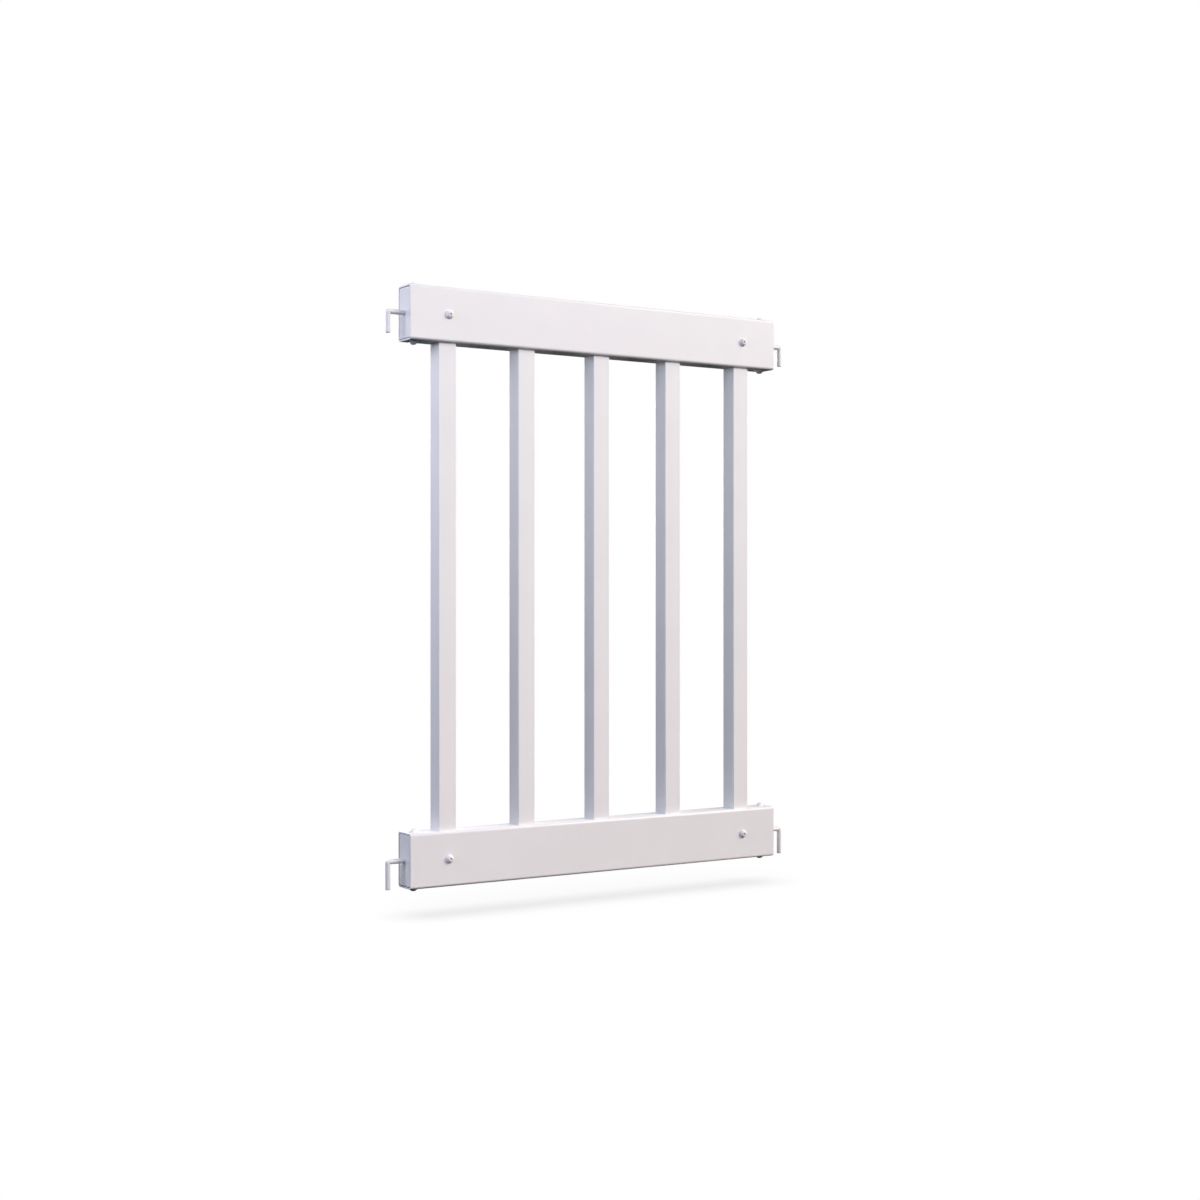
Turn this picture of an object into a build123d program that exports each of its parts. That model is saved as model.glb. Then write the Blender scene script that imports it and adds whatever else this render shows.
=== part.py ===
"""Fence panel: two box rails, square balusters between them and a rod hook out of each rail end.

Millimetres, +Z up. +X runs along the rails and -Y is the front. The origin is the middle of the bottom rail's
underside. The balusters stand in square sockets in the rails' inner walls, and the outer ones are screwed to both
rails. Each rail end is closed by a moulded plug, held by two screws, and each plug carries one hook.
"""
import os
from math import sqrt

from build123d import *

# Panel
panel_height = 1085.0  # underside of the bottom rail to the top face of the top rail
baluster_count = 5
baluster_pitch = 165.0
end_margin = 78.0  # outer baluster's centre line to the rail end

# Rails, box tube
rail_height = 100.0
rail_depth = 50.0
rail_wall = 3.0
rail_corner = 5.0  # outer radius of the long edges
rail_inner_corner = 2.0

# Balusters, square tube
baluster_side = 35.0
baluster_wall = 2.0
baluster_corner = 1.2
socket_clearance = 0.3  # each side, between a baluster and its socket
baluster_end_gap = 0.8  # from a baluster's top to the top rail's upper wall

# End plugs, moulded
plug_length = 40.0
plug_clearance = 0.8  # each side, between a plug and the rail's inside
plug_face = 8.0  # thickness of the closed end
plug_wall = 4.0
plug_rib = 6.0
plug_edge = 1.0  # rounding round the visible face
rod_boss = 24.0  # diameter of the boss round the hook's rod
screw_boss = 18.0  # width of the block that takes the plug screws

# Hooks, round rod forged to one square corner
hook_rod = 9.0
hook_reach = 33.0  # rail end to the centre line of the leg
top_leg = 38.0  # rod's centre line to the tip of an upper hook
bottom_leg = 50.0
hook_bend = 2.0  # centre-line radius, so tight that the inside corner is square
hook_tip = 0.8  # chamfer round the tip
hook_root = 1.0  # from the rod's underside down to the leg's plain wall
hook_corner = 9.2  # rod's diameter in the corner, where the forging leaves it fuller
hook_taper = 6.0  # length of rod over which the corner runs out
hook_thread = 8.0
hook_land = 6.0  # plug material between the hook's shoulder and its washer
hook_thread_end = 3.0  # thread that stands out of the nut
bore_clearance = 0.1  # on the radius, round a rod, a thread or a rivet nut
bore_lead = 0.6  # chamfer round the bore's mouth in the plug's face

# Hook fasteners
washer_diameter = 16.0
washer_hole = 8.4
washer_thickness = 1.6
nut_flats = 13.0
nut_height = 6.5
nut_chamfer = 0.6  # height of the turned chamfer on the nut's corners

# Plug screws, M8 with a high button head
plug_screw_thread = 8.0
plug_screw_length = 20.0
plug_screw_head = 16.0
plug_screw_head_height = 6.0
plug_screw_socket = 5.0
plug_screw_socket_depth = 3.0
plug_screw_hole = 8.5
plug_screw_inset = 17.5  # from the rail end

# Baluster screws, the same head on a longer M8 thread
baluster_screw_thread = 8.0
baluster_screw_length = 25.0
baluster_screw_head = 16.0
baluster_screw_head_height = 6.0
baluster_screw_socket = 5.0
baluster_screw_socket_depth = 3.0
baluster_screw_hole = 8.5

# Every button head
screw_rim = 0.8  # straight rim under the dome
screw_crown = 0.4  # flat ring round the hexagon socket
screw_point = 1.0  # chamfer at the screw's end

# Rivet nuts in the outer balusters, countersunk
rivet_flange = 14.0
rivet_land = 0.5  # straight wall left under the countersink
rivet_body = 11.0
rivet_bulge = 14.0  # collar pulled up behind the tube wall
rivet_bulge_depth = 2.0
rivet_length = 14.0

# Sizes that follow
rail_length = (baluster_count - 1) * baluster_pitch + 2 * end_margin
rail_end = rail_length / 2
outer_baluster = (baluster_count - 1) * baluster_pitch / 2
cavity_height = rail_height - 2 * rail_wall
cavity_depth = rail_depth - 2 * rail_wall
rivet_flange_depth = baluster_wall - rivet_land
rod_height = {"bottom": rail_height / 2, "top": panel_height - rail_height / 2}
socket_wall = {"bottom": rail_height - rail_wall, "top": panel_height - rail_height}
leg_length = {"bottom": bottom_leg, "top": top_leg}
side_sign = {"left": -1, "right": 1}
corners = [(level, side) for level in rod_height for side in side_sign]

os.makedirs("parts", exist_ok=True)


def front_seat(level, side, face):
    """Plane on an outer baluster's centre line, at depth face, looking out of the panel's front."""
    origin = (side_sign[side] * outer_baluster, face, rod_height[level])
    return Plane(origin, x_dir=(1, 0, 0), z_dir=(0, -1, 0))


def plug_seat(level, side, up, inset=0):
    """Plane of a plug screw on a rail's top (up = 1) or bottom (up = -1) face, looking outwards."""
    x = side_sign[side] * (rail_end - plug_screw_inset)
    z = rod_height[level] + up * (rail_height / 2 - inset)
    return Plane((x, 0, z), x_dir=(1, 0, 0), z_dir=(0, 0, up))


def end_plane(level, side, depth):
    """Plane across a rail, at a depth in from its end, looking into the rail."""
    x = side_sign[side] * (rail_end - depth)
    return Plane((x, 0, rod_height[level]), x_dir=(0, 1, 0), z_dir=(-side_sign[side], 0, 0))


def half_profile_plane(seat):
    """Plane for a turned piece's half profile: X is its radius and Y runs out of the seat."""
    return Plane(seat.origin, x_dir=seat.x_dir, z_dir=-seat.y_dir)


def button_screw(seat, thread, length, head, head_height, socket, socket_depth):
    """Button-head screw with a hexagon socket, its head on the seat and its thread behind it."""
    crown = socket / sqrt(3) + screw_crown
    dome_drop = head_height - screw_rim
    centre_drop = ((head / 2) ** 2 + dome_drop**2 - crown**2) / (2 * dome_drop)
    dome_radius = sqrt(crown**2 + centre_drop**2)
    with BuildPart() as screw:
        with BuildSketch(half_profile_plane(seat)):
            with BuildLine():
                RadiusArc((crown, head_height), (head / 2, screw_rim), dome_radius)
                Polyline(
                    (head / 2, screw_rim),
                    (head / 2, 0),
                    (thread / 2, 0),
                    (thread / 2, screw_point - length),
                    (thread / 2 - screw_point, -length),
                    (0, -length),
                    (0, head_height),
                    (crown, head_height),
                )
            make_face()
        revolve(axis=Axis(seat.origin, seat.z_dir))
        with BuildSketch(seat.offset(head_height)):
            RegularPolygon(socket / 2, 6, major_radius=False)
        extrude(amount=-socket_depth, mode=Mode.SUBTRACT)
    return screw.part


# Rails: rounded box tube, with a row of baluster sockets in the wall that faces the other rail
for level in rod_height:
    with BuildPart() as rail:
        with BuildSketch(Plane.YZ.offset(-rail_end)):
            with Locations((0, rod_height[level])):
                RectangleRounded(rail_depth, rail_height, rail_corner)
                RectangleRounded(cavity_depth, cavity_height, rail_inner_corner, mode=Mode.SUBTRACT)
        extrude(amount=rail_length)
        with BuildSketch(Plane.XY.offset(socket_wall[level])):
            with GridLocations(baluster_pitch, rail_depth, baluster_count, 1):
                socket_side = baluster_side + 2 * socket_clearance
                RectangleRounded(socket_side, socket_side, baluster_corner + socket_clearance)
        extrude(amount=rail_wall, mode=Mode.SUBTRACT)
        with Locations(*[front_seat(level, side, -rail_depth / 2) for side in side_sign]):
            Hole(baluster_screw_hole / 2, depth=rail_wall)
        with Locations(*[plug_seat(level, side, up) for side in side_sign for up in (1, -1)]):
            Hole(plug_screw_hole / 2, depth=rail_wall)
    rail.part.label = f"{level}_rail"
    export_step(rail.part, f"parts/{level}_rail.step")

# Balusters: square tube standing on the bottom rail's lower wall, the outer two drilled for rivet nuts
outer_indexes = {0: "left", baluster_count - 1: "right"}
for index in range(baluster_count):
    with BuildPart() as baluster:
        with BuildSketch(Plane.XY.offset(rail_wall)):
            with Locations((index * baluster_pitch - outer_baluster, 0)):
                RectangleRounded(baluster_side, baluster_side, baluster_corner)
                bore_side = baluster_side - 2 * baluster_wall
                Rectangle(bore_side, bore_side, mode=Mode.SUBTRACT)
        extrude(amount=panel_height - 2 * rail_wall - baluster_end_gap)
        if index in outer_indexes:
            with Locations(*[front_seat(level, outer_indexes[index], -baluster_side / 2) for level in rod_height]):
                Hole(rivet_body / 2 + bore_clearance, depth=baluster_wall)
                Cone(
                    rivet_body / 2 + bore_clearance,
                    rivet_flange / 2 + bore_clearance,
                    rivet_flange_depth,
                    align=(Align.CENTER, Align.CENTER, Align.MAX),
                    mode=Mode.SUBTRACT,
                )
    baluster.part.label = f"baluster_{index + 1}"
    export_step(baluster.part, f"parts/baluster_{index + 1}.step")

# End plugs: closed outer face, open and ribbed behind, a stepped bore for the hook and two screw pilots
for level, side in corners:
    width = cavity_depth - 2 * plug_clearance
    height = cavity_height - 2 * plug_clearance
    screw_block_end = plug_screw_inset + screw_boss / 2
    mouth = end_plane(level, side, 0)
    with BuildPart() as plug:
        with BuildSketch(mouth):
            RectangleRounded(width, height, rail_inner_corner)
        extrude(amount=plug_length)
        visible_face = plug.faces().sort_by(Axis(mouth.origin, mouth.z_dir))[0]
        fillet(visible_face.edges(), plug_edge)
        for start, stop, web in (
            (plug_face, screw_block_end, screw_boss),
            (screw_block_end, plug_length, plug_rib),
        ):
            with BuildSketch(end_plane(level, side, start)):
                Rectangle(width - 2 * plug_wall, height - 2 * plug_wall)
                Rectangle(web, height, mode=Mode.SUBTRACT)
                Rectangle(width, plug_rib, mode=Mode.SUBTRACT)
                Circle(rod_boss / 2, mode=Mode.SUBTRACT)
            extrude(amount=stop - start, mode=Mode.SUBTRACT)
        with Locations(Plane(mouth.origin, x_dir=mouth.x_dir, z_dir=-mouth.z_dir)):
            CounterBoreHole(
                hook_thread / 2 + bore_clearance,
                hook_rod / 2 + bore_clearance,
                plug_length - hook_land,
                depth=plug_length,
            )
        with Locations(mouth):
            Cone(
                hook_rod / 2 + bore_clearance + bore_lead,
                hook_rod / 2 + bore_clearance,
                bore_lead,
                align=(Align.CENTER, Align.CENTER, Align.MIN),
                mode=Mode.SUBTRACT,
            )
        pilot_depth = plug_screw_length - rail_wall - plug_clearance + screw_point
        with Locations(*[plug_seat(level, side, up, rail_wall + plug_clearance) for up in (1, -1)]):
            Hole(plug_screw_thread / 2 + bore_clearance, depth=pilot_depth)
    plug.part.label = f"{level}_{side}_end_plug"
    export_step(plug.part, f"parts/{level}_{side}_end_plug.step")

# Hooks: rod through the plug, shouldered down to a thread inside and turned straight down outside
for level, side in corners:
    out = side_sign[side]
    shoulder = end_plane(level, side, plug_length - hook_land)
    leg_x = out * (rail_end + hook_reach)
    tip_z = rod_height[level] - leg_length[level]
    leg_top = rod_height[level] - hook_rod / 2 - hook_root
    turn_centre = Vector(leg_x - out * hook_bend, 0, rod_height[level] - hook_bend)
    taper = Plane((turn_centre.X - out * hook_taper, 0, rod_height[level]), x_dir=(0, 1, 0), z_dir=(out, 0, 0))
    with BuildPart() as hook:
        with BuildSketch(shoulder):
            Circle(hook_rod / 2)
        extrude(amount=-abs(taper.origin.X - shoulder.origin.X))
        with BuildSketch(shoulder):
            Circle(hook_thread / 2)
        extrude(amount=hook_land + washer_thickness + nut_height + hook_thread_end)
        rims = hook.edges().filter_by(GeomType.CIRCLE)
        chamfer(rims.sort_by(Axis(shoulder.origin, shoulder.z_dir))[-1], hook_tip)
        from_rod = (Align.CENTER, Align.CENTER, Align.MIN)
        with Locations(taper):
            Cone(hook_rod / 2, hook_corner / 2, hook_taper, align=from_rod)
        with BuildSketch(Plane(turn_centre, x_dir=(0, out, 0), z_dir=(out, 0, 0))):
            with Locations((0, hook_bend)):
                Circle(hook_corner / 2)
            Rectangle(hook_corner, hook_corner, align=(Align.CENTER, Align.MIN), mode=Mode.INTERSECT)
        revolve(axis=Axis(turn_centre, (0, out, 0)), revolution_arc=90)
        with Locations((leg_x, 0, leg_top)):
            Cone(hook_rod / 2, hook_corner / 2, turn_centre.Z - leg_top, align=from_rod)
        tip = Plane((leg_x, 0, tip_z))
        with BuildSketch(half_profile_plane(tip)):
            with BuildLine():
                Polyline(
                    (0, 0),
                    (hook_rod / 2 - hook_tip, 0),
                    (hook_rod / 2, hook_tip),
                    (hook_rod / 2, leg_top - tip_z),
                    (0, leg_top - tip_z),
                    close=True,
                )
            make_face()
        revolve(axis=Axis(tip.origin, tip.z_dir))
    hook.part.label = f"{level}_{side}_hook"
    export_step(hook.part, f"parts/{level}_{side}_hook.step")

# Hook washers and nuts: they clamp the hook's shoulder in the plug, inside the rail
for level, side in corners:
    with BuildPart() as washer:
        with BuildSketch(end_plane(level, side, plug_length)):
            Circle(washer_diameter / 2)
            Circle(washer_hole / 2, mode=Mode.SUBTRACT)
        extrude(amount=washer_thickness)
    washer.part.label = f"{level}_{side}_hook_washer"
    export_step(washer.part, f"parts/{level}_{side}_hook_washer.step")
    with BuildPart() as nut:
        with BuildSketch(end_plane(level, side, plug_length + washer_thickness)):
            RegularPolygon(nut_flats / 2, 6, major_radius=False)
            Circle(hook_thread / 2 + bore_clearance, mode=Mode.SUBTRACT)
        extrude(amount=nut_height)
        nut_seat = end_plane(level, side, plug_length + washer_thickness)
        nut_corner = nut_flats / sqrt(3)
        with BuildSketch(half_profile_plane(nut_seat)):
            with BuildLine():
                Polyline(
                    (0, 0),
                    (nut_flats / 2, 0),
                    (nut_corner, nut_chamfer),
                    (nut_corner, nut_height - nut_chamfer),
                    (nut_flats / 2, nut_height),
                    (0, nut_height),
                    close=True,
                )
            make_face()
        revolve(axis=Axis(nut_seat.origin, nut_seat.z_dir), mode=Mode.INTERSECT)
    nut.part.label = f"{level}_{side}_hook_nut"
    export_step(nut.part, f"parts/{level}_{side}_hook_nut.step")

# Plug screws: one down and one up through the rail's walls into each plug
for level, side in corners:
    with BuildPart() as plug_screws:
        for up in (1, -1):
            add(
                button_screw(
                    plug_seat(level, side, up),
                    plug_screw_thread,
                    plug_screw_length,
                    plug_screw_head,
                    plug_screw_head_height,
                    plug_screw_socket,
                    plug_screw_socket_depth,
                )
            )
    plug_screws.part.label = f"{level}_{side}_plug_screws"
    export_step(plug_screws.part, f"parts/{level}_{side}_plug_screws.step")

# Baluster screws: through the rail's front wall into the outer balusters
for level, side in corners:
    baluster_screw = button_screw(
        front_seat(level, side, -rail_depth / 2),
        baluster_screw_thread,
        baluster_screw_length,
        baluster_screw_head,
        baluster_screw_head_height,
        baluster_screw_socket,
        baluster_screw_socket_depth,
    )
    baluster_screw.label = f"{level}_{side}_baluster_screw"
    export_step(baluster_screw, f"parts/{level}_{side}_baluster_screw.step")

# Rivet nuts: set flush in the outer balusters' front walls, the thread for the baluster screws
for level, side in corners:
    seat = front_seat(level, side, -baluster_side / 2)
    bulge_end = baluster_wall + rivet_bulge_depth
    with BuildPart() as rivet_nut:
        with BuildSketch(half_profile_plane(seat)):
            with BuildLine():
                Polyline(
                    (baluster_screw_thread / 2 + bore_clearance, 0),
                    (rivet_flange / 2, 0),
                    (rivet_body / 2, -rivet_flange_depth),
                    (rivet_body / 2, -baluster_wall),
                    (rivet_bulge / 2, -baluster_wall),
                    (rivet_bulge / 2, -bulge_end),
                    (rivet_body / 2, -bulge_end - rivet_bulge_depth),
                    (rivet_body / 2, -rivet_length),
                    (baluster_screw_thread / 2 + bore_clearance, -rivet_length),
                    close=True,
                )
            make_face()
        revolve(axis=Axis(seat.origin, seat.z_dir))
    rivet_nut.part.label = f"{level}_{side}_rivet_nut"
    export_step(rivet_nut.part, f"parts/{level}_{side}_rivet_nut.step")
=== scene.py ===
"""Looks of the white fence panel: its visible pieces, their finishes, the floor, the light and the camera.

Metres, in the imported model's frame: +X along the rails, -Y out of the front, +Z up.
"""
import math

import bmesh
import bpy
from mathutils import Matrix, Vector


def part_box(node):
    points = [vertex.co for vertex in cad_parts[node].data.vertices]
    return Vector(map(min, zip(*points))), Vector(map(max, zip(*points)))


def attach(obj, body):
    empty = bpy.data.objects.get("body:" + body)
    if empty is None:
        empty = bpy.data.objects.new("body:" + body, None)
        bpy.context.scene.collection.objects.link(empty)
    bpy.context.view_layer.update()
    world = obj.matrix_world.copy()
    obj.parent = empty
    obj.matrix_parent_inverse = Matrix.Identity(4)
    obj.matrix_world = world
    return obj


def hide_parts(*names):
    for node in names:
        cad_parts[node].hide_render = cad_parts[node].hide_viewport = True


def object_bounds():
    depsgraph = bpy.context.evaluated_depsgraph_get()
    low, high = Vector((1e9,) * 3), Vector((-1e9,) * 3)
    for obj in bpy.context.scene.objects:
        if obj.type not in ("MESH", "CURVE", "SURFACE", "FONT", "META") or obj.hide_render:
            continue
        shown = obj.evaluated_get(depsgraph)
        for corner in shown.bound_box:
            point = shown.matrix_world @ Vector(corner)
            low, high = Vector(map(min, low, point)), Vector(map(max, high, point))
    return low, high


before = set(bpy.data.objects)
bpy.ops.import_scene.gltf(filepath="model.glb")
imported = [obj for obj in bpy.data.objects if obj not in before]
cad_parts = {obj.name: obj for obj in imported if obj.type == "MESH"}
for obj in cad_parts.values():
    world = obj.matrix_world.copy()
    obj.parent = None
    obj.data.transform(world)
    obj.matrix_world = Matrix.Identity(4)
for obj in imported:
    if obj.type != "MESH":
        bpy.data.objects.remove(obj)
cad_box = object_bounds()

# Rails
# Two lengths of aluminium box tube with rounded long edges, sawn square and powder coated white outside. Five
# square sockets are punched in the wall that faces the other rail, and the walls are drilled for the screws.
rail_wall = 0.003
rail_corner = 0.005
rail_inner_corner = 0.002
socket_clearance = 0.0003
socket_corner = 0.0015
baluster_screw_hole = 0.0085
plug_screw_hole = 0.0085
pane_margin = 0.001  # flat that is scored round a hole before it is opened
ring_lift = 0.01
deburred = 0.0003  # rounding left on sawn and punched edges
corner_steps = 8
hole_steps = 32
flat_tolerance = 1e-6
cut_tolerance = 1e-7
sharp_turn = math.radians(50)  # edges that turn by more are rounded
shading_turn = math.radians(40)  # edges that turn by more are shaded crisp
wall_flatness = 0.99999  # largest part of a flat wall's normal
edge_start = 0.98  # largest part of the normal where an edge begins to turn
edge_middle = 0.74  # and half way round it
noise_span = (0.3, 0.7)  # part of a cloud pattern's values that is used
coat_shades = (0.845, 0.845, 0.848, 1), (0.872, 0.870, 0.870, 1)
coat_edge_shade = (0.80, 0.80, 0.81, 1)
coat_edge_span = (0.35, 0.75)
coat_edge_share = 0.5
coat_edge_polish = 0.08
# the bores' grey is bare metal darkened further as painted shade, for the dark joint line round the end plugs
bore_metal_and_painted_shade = (0.40, 0.40, 0.41, 1)
bore_metallic = 0.6
levels = {"bottom": 1, "top": -1}  # which way the wall with the sockets faces
sides = ("left", "right")
balusters = [name for name in sorted(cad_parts) if name.startswith("baluster_")]
axes = [Vector(row) for row in Matrix.Identity(3)]
faces_front = Matrix.Rotation(math.radians(90), 4, "X")
across_rail = Matrix.Rotation(math.radians(90), 4, "Z") @ faces_front


def middle(node):
    """Centre of a node's box."""
    low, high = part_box(node)
    return (low + high) / 2


def rounded_outline(bm, width, height, corner, place):
    """Ring of edges round a rectangle with rounded corners, in the plane that place turns XY into."""
    before = set(bm.edges)
    sized = place @ Matrix.Diagonal((width, height, 1, 1))
    sheet = bmesh.ops.create_grid(bm, x_segments=1, y_segments=1, size=0.5, matrix=sized)
    bmesh.ops.bevel(
        bm,
        geom=sheet["verts"],
        affect="VERTICES",
        offset=corner,
        segments=corner_steps,
        profile=0.5,
        material=-1,
    )
    ring = [edge for edge in bm.edges if edge not in before]
    bmesh.ops.delete(bm, geom=ring[0].link_faces[:], context="FACES_ONLY")
    return ring


def round_outline(bm, diameter, place):
    """Ring of edges round a circle, in the plane that place turns XY into."""
    circle = bmesh.ops.create_circle(
        bm, cap_ends=False, segments=hole_steps, radius=diameter / 2, matrix=place
    )
    return list({edge for vert in circle["verts"] for edge in vert.link_edges})


def draw_tube(bm, outer, inner, run):
    """Closes the wall between two outlines, draws it along run, and marks the bore: bare metal and painted
    shade.
    """
    bare_and_shaded_bore = bm.faces.layers.float.new("bare_and_shaded_bore")
    wall = bmesh.ops.bridge_loops(bm, edges=outer + inner)["faces"]
    drawn = bmesh.ops.extrude_face_region(bm, geom=wall)["geom"]
    bmesh.ops.translate(bm, verts=[part for part in drawn if isinstance(part, bmesh.types.BMVert)], vec=run)
    bmesh.ops.recalc_face_normals(bm, faces=bm.faces[:])
    for edge in inner:
        for face in edge.link_faces:
            face[bare_and_shaded_bore] = 0.0 if face in wall else 1.0


def face_at(bm, point):
    """The flat face that a point lies in."""
    for face in bm.faces:
        level = abs(face.normal.dot(point - face.verts[0].co)) < flat_tolerance
        if level and bmesh.geometry.intersect_face_point(face, point):
            return face


def fill_between(bm, rim, ring, normal):
    """Fills the flat between a rim and a ring.

    The ring is lifted meanwhile, so that both are joined the same way round.
    """
    corners = list({vert for edge in ring for vert in edge.verts})
    bmesh.ops.translate(bm, verts=corners, vec=ring_lift * normal)
    bmesh.ops.bridge_loops(bm, edges=rim + ring)
    bmesh.ops.translate(bm, verts=corners, vec=-ring_lift * normal)


def punch(bm, half, rings):
    """Opens a wall: each ring replaces a square pane of its face, and the rings are joined through it."""
    for ring in rings:
        points = [vert.co for edge in ring for vert in edge.verts]
        centre = Vector([(min(along) + max(along)) / 2 for along in zip(*points)])
        normal = face_at(bm, centre).normal.copy()
        for axis in axes:
            for reach in (-half, half):
                face = face_at(bm, centre)
                if abs(axis.dot(normal)) < 0.5:
                    bmesh.ops.bisect_plane(
                        bm,
                        geom=[face, *face.edges, *face.verts],
                        plane_co=centre + reach * axis,
                        plane_no=axis,
                        dist=cut_tolerance,
                    )
        pane = face_at(bm, centre)
        bmesh.ops.bisect_edges(bm, edges=pane.edges[:], cuts=len(ring) // 4 - 1)
        pane = face_at(bm, centre)
        rim = pane.edges[:]
        bmesh.ops.delete(bm, geom=[pane], context="FACES_ONLY")
        fill_between(bm, rim, ring, normal)
        bm.normal_update()
    bmesh.ops.bridge_loops(bm, edges=rings[0] + rings[1])
    bmesh.ops.recalc_face_normals(bm, faces=bm.faces[:])


def soften(bm, width, steps=2):
    """Rounds every sharp edge."""
    sharp = [edge for edge in bm.edges if edge.calc_face_angle(0.0) > sharp_turn]
    bmesh.ops.bevel(bm, geom=sharp, affect="EDGES", offset=width, segments=steps, profile=0.5, material=-1)


def flat_shading(bm):
    """Normals that keep a box tube's walls flat.

    A point on a wall takes the wall's own normal, and the rounded edges take up the turn.
    """
    shading = []
    for vert in bm.verts:
        walls = [face for face in vert.link_faces if max(map(abs, face.normal)) > wall_flatness]
        widest = max(walls, key=lambda face: face.calc_area(), default=vert)
        shading.append(widest.normal.copy())
    return shading


def place_piece(name, bm, finish, slot, *nodes, boxy=False):
    """Makes the mesh a piece of the panel that stands for the named nodes."""
    mesh = bpy.data.meshes.new(name)
    bm.normal_update()
    shading = flat_shading(bm) if boxy else None
    bm.to_mesh(mesh)
    bm.free()
    mesh.shade_smooth()
    if boxy:
        mesh.normals_split_custom_set_from_vertices(shading)
    else:
        mesh.set_sharp_from_angle(angle=shading_turn)
    mesh.materials.append(finish)
    piece = bpy.data.objects.new(name, mesh)
    bpy.context.scene.collection.objects.link(piece)
    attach(piece, "root")
    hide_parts(*nodes)
    for node in nodes:
        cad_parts[node].material_slots[0].material = finish


def new_finish(name):
    """A node material, with its tree and its main shader."""
    material = bpy.data.materials.new(name)
    material.use_nodes = True
    return material, material.node_tree, material.node_tree.nodes["Principled BSDF"]


def add(tree, kind, sockets, **settings):
    """Adds a shader node. A socket is given a value, or the output that feeds it."""
    node = tree.nodes.new("ShaderNode" + kind)
    for key, value in settings.items():
        setattr(node, key, value)
    for key, value in sockets.items():
        if isinstance(value, bpy.types.NodeSocket):
            tree.links.new(value, node.inputs[key])
        else:
            node.inputs[key].default_value = value
    return node


def noise(tree, grain, detail):
    """Cloud pattern whose patches are about grain wide, from 0 to 1."""
    place = add(tree, "TexCoord", {}).outputs["Object"]
    return add(tree, "TexNoise", {"Vector": place, "Scale": 1 / grain, "Detail": detail}).outputs["Fac"]


def stretch(tree, value, low, high, start=0.0, end=1.0):
    """Carries a value from the range start to end over to the range low to high, and no further."""
    ranges = {"Value": value, "From Min": start, "From Max": end, "To Min": low, "To Max": high}
    return add(tree, "MapRange", ranges).outputs["Result"]


def patches(tree, grain, detail, low, high):
    """Cloud pattern spread over the range low to high."""
    return stretch(tree, noise(tree, grain, detail), low, high, *noise_span)


def mixed(tree, share, one, other):
    """Colour between one and other."""
    node = tree.nodes.new("ShaderNodeMix")
    node.data_type = "RGBA"
    for socket, value in zip((node.inputs[0], node.inputs[6], node.inputs[7]), (share, one, other)):
        if isinstance(value, bpy.types.NodeSocket):
            tree.links.new(value, socket)
        else:
            socket.default_value = value
    return node.outputs[2]


def turning_edges(tree):
    """How far a square-built piece turns towards its next face: 0 on its flats, 1 half way round an edge."""
    normal = add(tree, "NewGeometry", {}).outputs["Normal"]
    size = add(tree, "VectorMath", {0: normal}, operation="ABSOLUTE").outputs["Vector"]
    parts = add(tree, "SeparateXYZ", {"Vector": size}).outputs
    widest = add(tree, "Math", {0: parts["X"], 1: parts["Y"]}, operation="MAXIMUM").outputs[0]
    widest = add(tree, "Math", {0: widest, 1: parts["Z"]}, operation="MAXIMUM").outputs[0]
    return stretch(tree, widest, 0, 1, edge_start, edge_middle)


def powder_coat():
    """Satin white powder coat: cloudy film, orange peel, thinner and smoother edges; bores bare metal with
    painted shade.
    """
    material, tree, shader = new_finish("white_powder_coat")
    film = mixed(tree, patches(tree, grain=0.09, detail=4, low=0, high=1), *coat_shades)
    thin = stretch(tree, noise(tree, grain=0.012, detail=3), 0, coat_edge_share, *coat_edge_span)
    edge = add(tree, "Math", {0: turning_edges(tree), 1: thin}, operation="MULTIPLY").outputs[0]
    bare_and_shaded_bore = add(tree, "Attribute", {}, attribute_name="bare_and_shaded_bore").outputs["Fac"]
    coat = mixed(tree, edge, film, coat_edge_shade)
    # bores take a dark metal grey: bare metal, darkened as painted shade in the joint line at the rail ends
    tree.links.new(mixed(tree, bare_and_shaded_bore, coat, bore_metal_and_painted_shade), shader.inputs["Base Color"])
    tree.links.new(stretch(tree, bare_and_shaded_bore, 0, bore_metallic), shader.inputs["Metallic"])
    satin = patches(tree, grain=0.03, detail=3, low=0.33, high=0.43)
    polish = stretch(tree, edge, 0, -coat_edge_polish)
    gloss = add(tree, "Math", {0: satin, 1: polish}, operation="ADD").outputs[0]
    tree.links.new(gloss, shader.inputs["Roughness"])
    skin = noise(tree, grain=0.0022, detail=2)
    peel = add(tree, "Bump", {"Height": skin, "Strength": 0.12, "Distance": 0.0002})
    tree.links.new(peel.outputs["Normal"], shader.inputs["Normal"])
    return material


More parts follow.
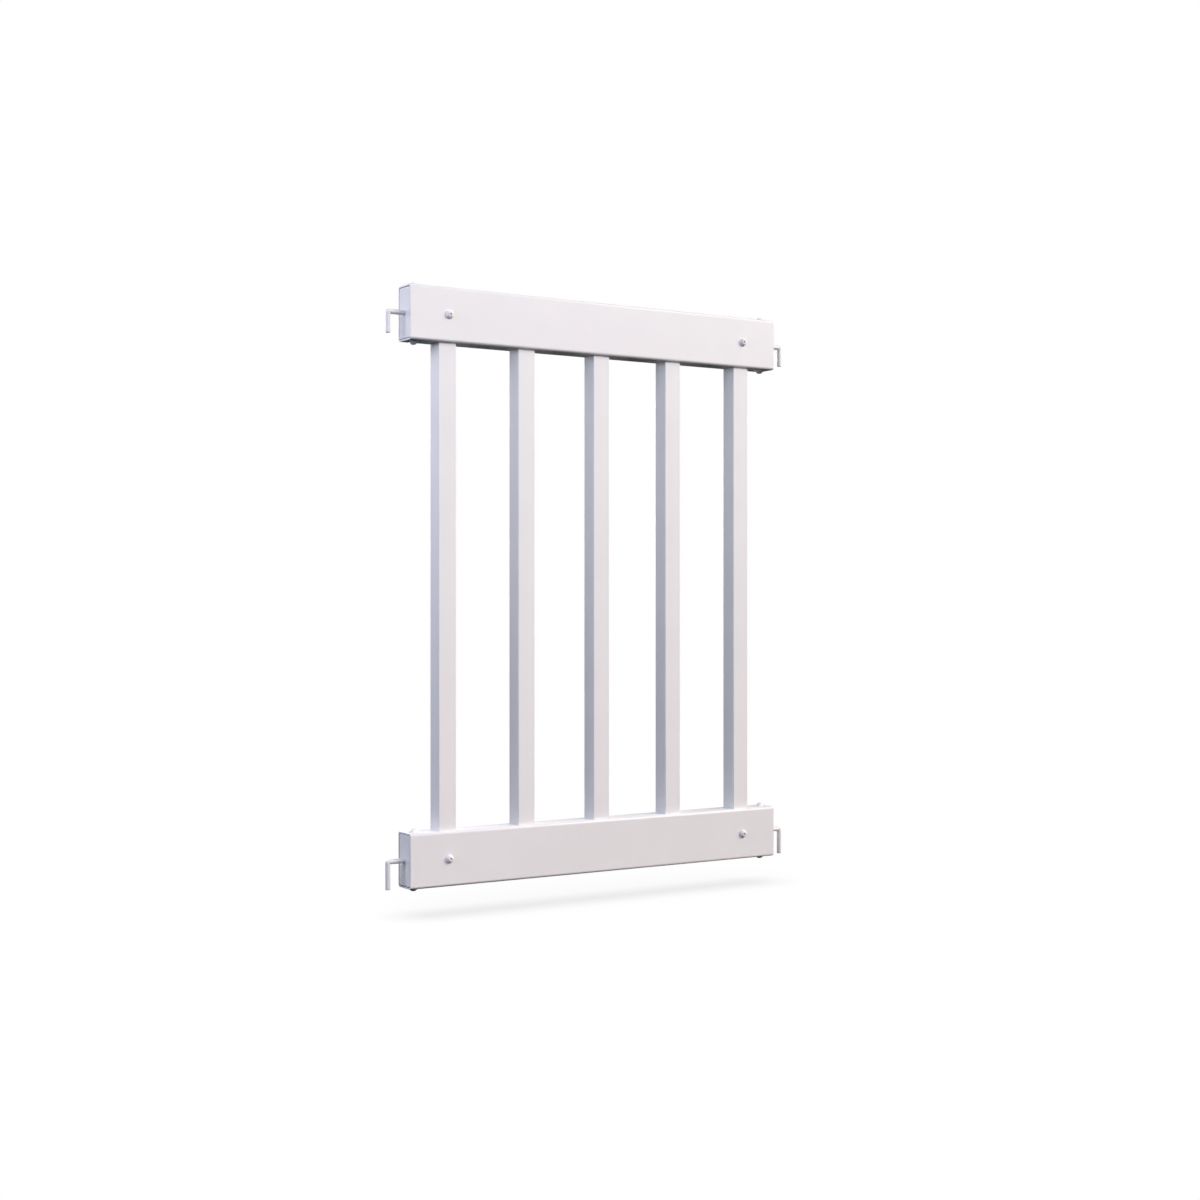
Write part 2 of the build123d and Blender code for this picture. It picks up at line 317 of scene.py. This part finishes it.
white_coat = powder_coat()
for level, facing in levels.items():
    rail = f"{level}_rail"
    low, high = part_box(rail)
    length, depth, height = high - low
    centre = (low + high) / 2
    bm = bmesh.new()
    end = Matrix.Translation((low.x, centre.y, centre.z)) @ across_rail
    draw_tube(
        bm,
        rounded_outline(bm, depth, height, rail_corner, end),
        rounded_outline(bm, depth - 2 * rail_wall, height - 2 * rail_wall, rail_inner_corner, end),
        (length, 0, 0),
    )
    for baluster in balusters:
        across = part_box(baluster)[1].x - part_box(baluster)[0].x + 2 * socket_clearance
        rings = []
        for inset in (0, rail_wall):
            mouth = Matrix.Translation((middle(baluster).x, 0, centre.z + facing * (height / 2 - inset)))
            rings.append(rounded_outline(bm, across, across, socket_corner, mouth))
        punch(bm, across / 2 + pane_margin, rings)
    for side in sides:
        screw = middle(f"{level}_{side}_baluster_screw")
        depths = [low.y + inset for inset in (0, rail_wall)]
        seats = [Matrix.Translation((screw.x, y, screw.z)) @ faces_front for y in depths]
        rings = [round_outline(bm, baluster_screw_hole, seat) for seat in seats]
        punch(bm, baluster_screw_hole / 2 + pane_margin, rings)
        screws = middle(f"{level}_{side}_plug_screws")
        for up in (1, -1):
            heights = [centre.z + up * (height / 2 - inset) for inset in (0, rail_wall)]
            seats = [Matrix.Translation((screws.x, 0, z)) for z in heights]
            rings = [round_outline(bm, plug_screw_hole, seat) for seat in seats]
            punch(bm, plug_screw_hole / 2 + pane_margin, rings)
    soften(bm, deburred)
    place_piece(f"{rail}_tube", bm, white_coat, "white_coat", rail, boxy=True)

# Balusters
# Five square tubes in the same white coat, pushed through the rails' sockets. They stand on the bottom rail's
# lower wall. The front walls of the outer two are countersunk for rivet nuts.
baluster_wall = 0.002
baluster_corner = 0.0012
baluster_bore_corner = 0.0004
rivet_mouth = 0.0142
rivet_hole = 0.0112

for baluster in balusters:
    low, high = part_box(baluster)
    across = high.x - low.x
    bore = across - 2 * baluster_wall
    foot = Matrix.Translation((middle(baluster).x, 0, low.z))
    bm = bmesh.new()
    draw_tube(
        bm,
        rounded_outline(bm, across, across, baluster_corner, foot),
        rounded_outline(bm, bore, bore, baluster_bore_corner, foot),
        (0, 0, high.z - low.z),
    )
    for level in levels:
        for side in sides:
            screw = middle(f"{level}_{side}_baluster_screw")
            if abs(screw.x - middle(baluster).x) < across / 2:
                rings = []
                for inset, diameter in ((0, rivet_mouth), (baluster_wall, rivet_hole)):
                    seat = Matrix.Translation((screw.x, low.y + inset, screw.z)) @ faces_front
                    rings.append(round_outline(bm, diameter, seat))
                punch(bm, rivet_mouth / 2 + pane_margin, rings)
    soften(bm, deburred)
    place_piece(f"{baluster}_tube", bm, white_coat, "white_coat", baluster, boxy=True)

# Rivet nuts, hook washers and hook nuts
# Zinc plated steel, out of sight: the rivet nuts are set flush in the outer balusters' front walls, and the
# washers and hexagon nuts clamp the hooks behind the end plugs.
zinc_shades = (0.66, 0.665, 0.68, 1), (0.70, 0.69, 0.67, 1)


def bright_zinc():
    """Bright zinc plated steel: a faint yellow and blue cast and a patchy gloss."""
    material, tree, shader = new_finish("bright_zinc")
    cast = patches(tree, grain=0.004, detail=3, low=0, high=1)
    tree.links.new(mixed(tree, cast, *zinc_shades), shader.inputs["Base Color"])
    shader.inputs["Metallic"].default_value = 1.0
    gloss = patches(tree, grain=0.002, detail=3, low=0.22, high=0.36)
    tree.links.new(gloss, shader.inputs["Roughness"])
    return material


fastener_steel = bright_zinc()
for node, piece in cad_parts.items():
    if node.endswith(("_rivet_nut", "_hook_washer", "_hook_nut")):
        piece.material_slots[0].material = fastener_steel

# Baluster screws
# Four button-head screws with hexagon sockets, cold headed from steel, threaded and coated white to match the
# tubes. Each holds an outer baluster to the front wall of a rail.
screw_rim = 0.0008
screw_crown = 0.0004
screw_point = 0.001
screw_edge = 0.0002
dome_steps = 10
turn_steps = 48
thread_steps = 24
screw_thread = 0.008
screw_pitch = 0.00125
screw_socket = 0.005
screw_socket_corner = screw_socket / math.sqrt(3)  # from the socket's middle
screw_socket_depth = 0.003
thread_depth = 0.6 * screw_pitch
thread_flank = 0.42 * screw_pitch
thread_land = 0.07 * screw_pitch
thread_root = screw_thread / 2 - 0.58 * screw_pitch
screw_shades = (0.82, 0.82, 0.83, 1), (0.865, 0.863, 0.86, 1)


def lathe_point(bm, vert, radius, height):
    """Carries a turned profile on to its next corner."""
    point = bmesh.ops.extrude_vert_indiv(bm, verts=[vert])["verts"][0]
    point.co = (radius, 0, height)
    return point


def cut_thread(bm, start, end):
    """Thread ridge: one section carried round the Z axis and down from start to end."""
    crest = screw_thread / 2
    section = (
        (crest - thread_depth, thread_flank),
        (crest, thread_land),
        (crest, -thread_land),
        (crest - thread_depth, -thread_flank),
    )
    corners = [bm.verts.new((radius, 0, start - thread_flank + along)) for radius, along in section]
    face = bm.faces.new(corners)
    turns = (start - end - 2 * thread_flank) / screw_pitch
    steps = round(turns * thread_steps)
    bmesh.ops.spin(
        bm,
        geom=[face, *face.edges, *face.verts],
        cent=(0, 0, 0),
        axis=(0, 0, 1),
        dvec=(0, 0, -screw_pitch / thread_steps),
        angle=math.radians(360) * turns,
        steps=steps,
    )


def button_screw(bm, place, head, head_height, length):
    """Adds one button-head screw: its head stands on the plane that place sets, with its thread behind."""
    made = bmesh.new()
    ring = made.verts.layers.float.new("turned")
    crown = screw_socket_corner + screw_crown
    drop = head_height - screw_rim
    centre_drop = ((head / 2) ** 2 + drop**2 - crown**2) / (2 * drop)
    sweep = math.atan2(head / 2, centre_drop - drop) - math.atan2(crown, centre_drop)
    start = made.verts.new((crown, 0, head_height))
    dome = bmesh.ops.spin(
        made,
        geom=[start],
        cent=(0, 0, head_height - centre_drop),
        axis=(0, 1, 0),
        angle=sweep,
        steps=dome_steps,
    )
    rim = [part for part in dome["geom_last"] if isinstance(part, bmesh.types.BMVert)][0]
    profile = (
        (head / 2, 0),
        (screw_thread / 2, 0),
        (thread_root, -screw_pitch),
        (thread_root, screw_point - length),
        (thread_root - screw_point, -length),
    )
    for radius, height in profile:
        rim = lathe_point(made, rim, radius, height)
    bmesh.ops.spin(
        made,
        geom=made.verts[:] + made.edges[:],
        cent=(0, 0, 0),
        axis=(0, 0, 1),
        angle=math.radians(360),
        steps=turn_steps,
        use_merge=True,
    )
    open_edges = [edge for edge in made.edges if edge.is_boundary]
    crown_ring = [edge for edge in open_edges if edge.verts[0].co.z > 0]
    point_ring = [edge for edge in open_edges if edge.verts[0].co.z < 0]
    bmesh.ops.contextual_create(made, geom=point_ring)
    hexagon = bmesh.ops.create_circle(
        made, segments=6, radius=screw_socket_corner, matrix=Matrix.Translation((0, 0, head_height))
    )["verts"]
    mouth = list({edge for vert in hexagon for edge in vert.link_edges})
    fill_between(made, crown_ring, mouth, axes[2])
    walls = bmesh.ops.extrude_edge_only(made, edges=mouth)["geom"]
    bottom = [part for part in walls if isinstance(part, bmesh.types.BMVert)]
    bmesh.ops.translate(made, verts=bottom, vec=(0, 0, -screw_socket_depth))
    floor_edges = [part for part in walls if isinstance(part, bmesh.types.BMEdge) and part.is_boundary]
    bmesh.ops.contextual_create(made, geom=floor_edges)
    bmesh.ops.recalc_face_normals(made, faces=made.faces[:])
    soften(made, screw_edge)
    cut_thread(made, -screw_pitch, screw_point - length)
    bmesh.ops.recalc_face_normals(made, faces=made.faces[:])
    for vert in made.verts:
        vert[ring] = vert.co.xy.length
    bmesh.ops.transform(made, matrix=place, verts=made.verts[:])
    turned = bpy.data.meshes.new("turned_screw")
    made.to_mesh(turned)
    made.free()
    bm.from_mesh(turned)
    bpy.data.meshes.remove(turned)


def screw_white():
    """White coat on a screw: smooth, a little glossier than the tubes', over faint turned rings."""
    material, tree, shader = new_finish("white_screw_coat")
    cloud = patches(tree, grain=0.004, detail=3, low=0, high=1)
    tree.links.new(mixed(tree, cloud, *screw_shades), shader.inputs["Base Color"])
    gloss = patches(tree, grain=0.002, detail=3, low=0.24, high=0.36)
    tree.links.new(gloss, shader.inputs["Roughness"])
    ring = add(tree, "Attribute", {}, attribute_name="turned").outputs["Fac"]
    rings = {"W": ring, "Scale": 4000.0, "Detail": 2.0}
    lines = add(tree, "TexNoise", rings, noise_dimensions="1D").outputs["Fac"]
    marks = add(tree, "Bump", {"Height": lines, "Strength": 0.1, "Distance": 0.00004})
    tree.links.new(marks.outputs["Normal"], shader.inputs["Normal"])
    return material


screw_coat = screw_white()
for level in levels:
    for side in sides:
        screw = f"{level}_{side}_baluster_screw"
        low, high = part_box(screw)
        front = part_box(f"{level}_rail")[0].y
        bm = bmesh.new()
        button_screw(
            bm,
            Matrix.Translation((middle(screw).x, front, middle(screw).z)) @ faces_front,
            high.x - low.x,
            front - low.y,
            high.y - front,
        )
        place_piece(f"{screw}_turned", bm, screw_coat, "screw_coat", screw)

# End plugs
# White moulded plugs, pushed flush into the rail ends, with a rounded rim that leaves a fine joint line
# inside the tube. Each has a closed face with a bore for its hook, and is ribbed behind.
rail_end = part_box("top_rail")[1].x
plug_shade_start = 0.0004  # depth from the rail's end at which painted shade on the sides begins
plug_shade_full = 0.0010  # depth at which the sides are fully in painted shade
plug_shades = (0.835, 0.84, 0.845, 1), (0.86, 0.86, 0.86, 1)
plug_joint_painted_shade = (0.46, 0.46, 0.47, 1)
plug_polish = 0.12


def moulded_plastic():
    """Matt white plastic with a fine spark-eroded grain, slightly polished corners, and painted shade on its
    sides in the joint.
    """
    material, tree, shader = new_finish("white_moulded_plastic")
    cloud = patches(tree, grain=0.02, detail=3, low=0, high=1)
    shade = mixed(tree, cloud, *plug_shades)
    place = add(tree, "TexCoord", {}).outputs["Object"]
    along = add(tree, "SeparateXYZ", {"Vector": place}).outputs["X"]
    along = add(tree, "Math", {0: along}, operation="ABSOLUTE").outputs[0]
    # the plug's sides, just inside the rail's end, turn dark grey: painted shade for the joint line round the
    # plug
    joint_shade_share = stretch(tree, along, 1, 0, rail_end - plug_shade_full, rail_end - plug_shade_start)
    tree.links.new(mixed(tree, joint_shade_share, shade, plug_joint_painted_shade), shader.inputs["Base Color"])
    matt = patches(tree, grain=0.0015, detail=3, low=0.46, high=0.58)
    worn = stretch(tree, turning_edges(tree), 0, -plug_polish)
    gloss = add(tree, "Math", {0: matt, 1: worn}, operation="ADD").outputs[0]
    tree.links.new(gloss, shader.inputs["Roughness"])
    skin = noise(tree, grain=0.0004, detail=2)
    eroded = add(tree, "Bump", {"Height": skin, "Strength": 0.25, "Distance": 0.00004})
    tree.links.new(eroded.outputs["Normal"], shader.inputs["Normal"])
    return material


plug_plastic = moulded_plastic()
for node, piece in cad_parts.items():
    if node.endswith("_end_plug"):
        piece.material_slots[0].material = plug_plastic

# Plug screws
# Eight white steel screws with the same head on a shorter thread, made in the same way. One goes down and one
# up through a rail's walls into each end plug.
plug_screw_length = 0.020

for level in levels:
    for side in sides:
        screws = f"{level}_{side}_plug_screws"
        low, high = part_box(screws)
        rail_low, rail_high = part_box(f"{level}_rail")
        bm = bmesh.new()
        for seat, turn in ((rail_high.z, Matrix.Identity(4)), (rail_low.z, Matrix.Rotation(math.pi, 4, "X"))):
            button_screw(
                bm,
                Matrix.Translation((middle(screws).x, 0, seat)) @ turn,
                high.x - low.x,
                high.z - rail_high.z,
                plug_screw_length,
            )
        place_piece(f"{screws}_turned", bm, screw_coat, "screw_coat", screws)

# Hooks
# Four lengths of 9 mm steel rod in a white coat, forged to one square corner, with a leg that drops into an
# eye on the post. The inner end has a shoulder in the plug and a thread for its nut. The tip is chamfered.
hook_shades = (0.83, 0.83, 0.835, 1), (0.865, 0.863, 0.86, 1)


def dipped_coat():
    """Smooth white coat on round rod, a little fuller in places, with a soft gloss."""
    material, tree, shader = new_finish("white_dipped_coat")
    cloud = patches(tree, grain=0.012, detail=3, low=0, high=1)
    tree.links.new(mixed(tree, cloud, *hook_shades), shader.inputs["Base Color"])
    gloss = patches(tree, grain=0.006, detail=3, low=0.26, high=0.38)
    tree.links.new(gloss, shader.inputs["Roughness"])
    skin = noise(tree, grain=0.003, detail=2)
    runs = add(tree, "Bump", {"Height": skin, "Strength": 0.15, "Distance": 0.0003})
    tree.links.new(runs.outputs["Normal"], shader.inputs["Normal"])
    return material


hook_coat = dipped_coat()
for node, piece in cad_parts.items():
    if node.endswith("_hook"):
        piece.material_slots[0].material = hook_coat

# Floor
# Plain white studio floor, a little below the panel, which hangs clear of it. It glows evenly, darkens only
# where the panel closes over it, and throws no light back up at the panel.
floor_drop = 0.053
floor_reach = 4.0
shadow_core = (0.08, 0.388, (0, 0, 1))  # reach of the panel's shadow, its share, and the way that it leans
shadow_edge = (0.35, 0.159, (-0.8, -0.6, 1))
shadow_samples = 16
floor_glow = 1.01

bm = bmesh.new()
bmesh.ops.create_grid(
    bm, x_segments=1, y_segments=1, size=floor_reach, matrix=Matrix.Translation((0, 0, -floor_drop))
)
floor_mesh = bpy.data.meshes.new("floor")
bm.to_mesh(floor_mesh)
bm.free()
floor = bpy.data.objects.new("floor", floor_mesh)
bpy.context.scene.collection.objects.link(floor)
floor.visible_diffuse = False
floor.visible_glossy = False
floor_white, tree, shader = new_finish("floor_white")
glow = (1, 1, 1)
for reach, share, lean in (shadow_core, shadow_edge):
    lean_parts = dict(zip("XYZ", Vector(lean).normalized()))
    leaning = add(tree, "CombineXYZ", lean_parts).outputs["Vector"]
    around = {"Distance": reach, "Normal": leaning}
    openness = add(tree, "AmbientOcclusion", around, samples=shadow_samples).outputs["AO"]
    lightness = stretch(tree, openness, 1 - share, 1)
    glow = add(tree, "VectorMath", {0: glow, "Scale": lightness}, operation="SCALE").outputs["Vector"]
tree.links.new(glow, shader.inputs["Emission Color"])
shader.inputs["Emission Strength"].default_value = floor_glow
shader.inputs["Base Color"].default_value = (0, 0, 0, 1)
shader.inputs["Specular IOR Level"].default_value = 0
floor_white.cycles.emission_sampling = "NONE"
floor_mesh.materials.append(floor_white)

# Light
# A soft studio: a warm glow from the front right, a pale one from behind, and softboxes at the left, over the
# camera, at the front right and behind. Nothing shines from below the horizon.
horizon_dark = -0.02  # height of the sky where the glow begins
horizon_lit = 0.12  # and where it is full
panel_middle = (cad_box[0] + cad_box[1]) / 2


def sky_glow(tree, direction, focus, tint):
    """Coloured glow round one direction of the sky."""
    ahead = add(tree, "TexCoord", {}).outputs["Generated"]
    towards = Vector(direction).normalized()
    toward = add(tree, "VectorMath", {0: ahead, 1: towards}, operation="DOT_PRODUCT").outputs["Value"]
    toward = add(tree, "Math", {0: toward, 1: 0.0}, operation="MAXIMUM").outputs[0]
    strength = add(tree, "Math", {0: toward, 1: focus}, operation="POWER").outputs[0]
    return add(tree, "VectorMath", {0: tint, "Scale": strength}, operation="SCALE").outputs["Vector"]


def softbox(name, place, width, power, tint):
    """Square soft light that faces the middle of the panel."""
    lamp = bpy.data.lights.new(name, "AREA")
    lamp.shape = "SQUARE"
    lamp.size = width
    lamp.energy = power
    lamp.color = tint
    light = bpy.data.objects.new(name, lamp)
    light.location = place
    light.rotation_euler = (panel_middle - light.location).to_track_quat("-Z", "Y").to_euler()
    light.visible_camera = False
    bpy.context.scene.collection.objects.link(light)


studio = bpy.data.worlds.new("studio")
studio.use_nodes = True
bpy.context.scene.world = studio
tree = studio.node_tree
tree.nodes.clear()
warm = sky_glow(tree, direction=(0.7, -0.7, 0.35), focus=6, tint=(5.27, 4.49, 4.19))
pale = sky_glow(tree, direction=(0, 1, 0.2), focus=12, tint=(6.05, 6.09, 6.40))
sky = add(tree, "VectorMath", {0: warm, 1: pale}, operation="ADD").outputs["Vector"]
height = add(tree, "SeparateXYZ", {"Vector": add(tree, "TexCoord", {}).outputs["Generated"]}).outputs["Z"]
above = add(
    tree,
    "MapRange",
    {"Value": height, "From Min": horizon_dark, "From Max": horizon_lit},
    interpolation_type="SMOOTHSTEP",
).outputs["Result"]
lit = add(tree, "Background", {"Color": sky, "Strength": above}).outputs["Background"]
backdrop = add(tree, "Background", {"Color": (1, 1, 1, 1)}).outputs["Background"]
seen = add(tree, "LightPath", {}).outputs["Is Camera Ray"]
shown = add(tree, "MixShader", {0: seen, 1: lit, 2: backdrop}).outputs["Shader"]
add(tree, "OutputWorld", {"Surface": shown})
softbox("left_softbox", place=(-2.8, -0.4, 1.6), width=1.8, power=49.1, tint=(0.861, 0.842, 1.0))
softbox("front_softbox", place=(-2.6, -3.0, 2.2), width=1.6, power=25.9, tint=(0.340, 0.650, 1.0))
softbox("right_softbox", place=(2.6, -2.6, 2.8), width=1.6, power=48.7, tint=(0.742, 0.908, 1.0))
softbox("back_softbox", place=(0.0, 3.2, 1.0), width=1.2, power=29.9, tint=(0.945, 0.952, 1.0))

# Camera
# Level, at half the panel's height, to the left of its front.
camera_place = (-1.8360, -2.9254, 0.5185)
camera_turn = -32.218
camera_lens = 54.0
camera = bpy.data.cameras.new("camera")
camera.lens = camera_lens
camera_object = bpy.data.objects.new("camera", camera)
camera_object.location = camera_place
camera_object.rotation_euler = (math.radians(90), 0, math.radians(camera_turn))
bpy.context.scene.collection.objects.link(camera_object)
bpy.context.scene.camera = camera_object
bpy.context.scene.view_settings.view_transform = "Standard"
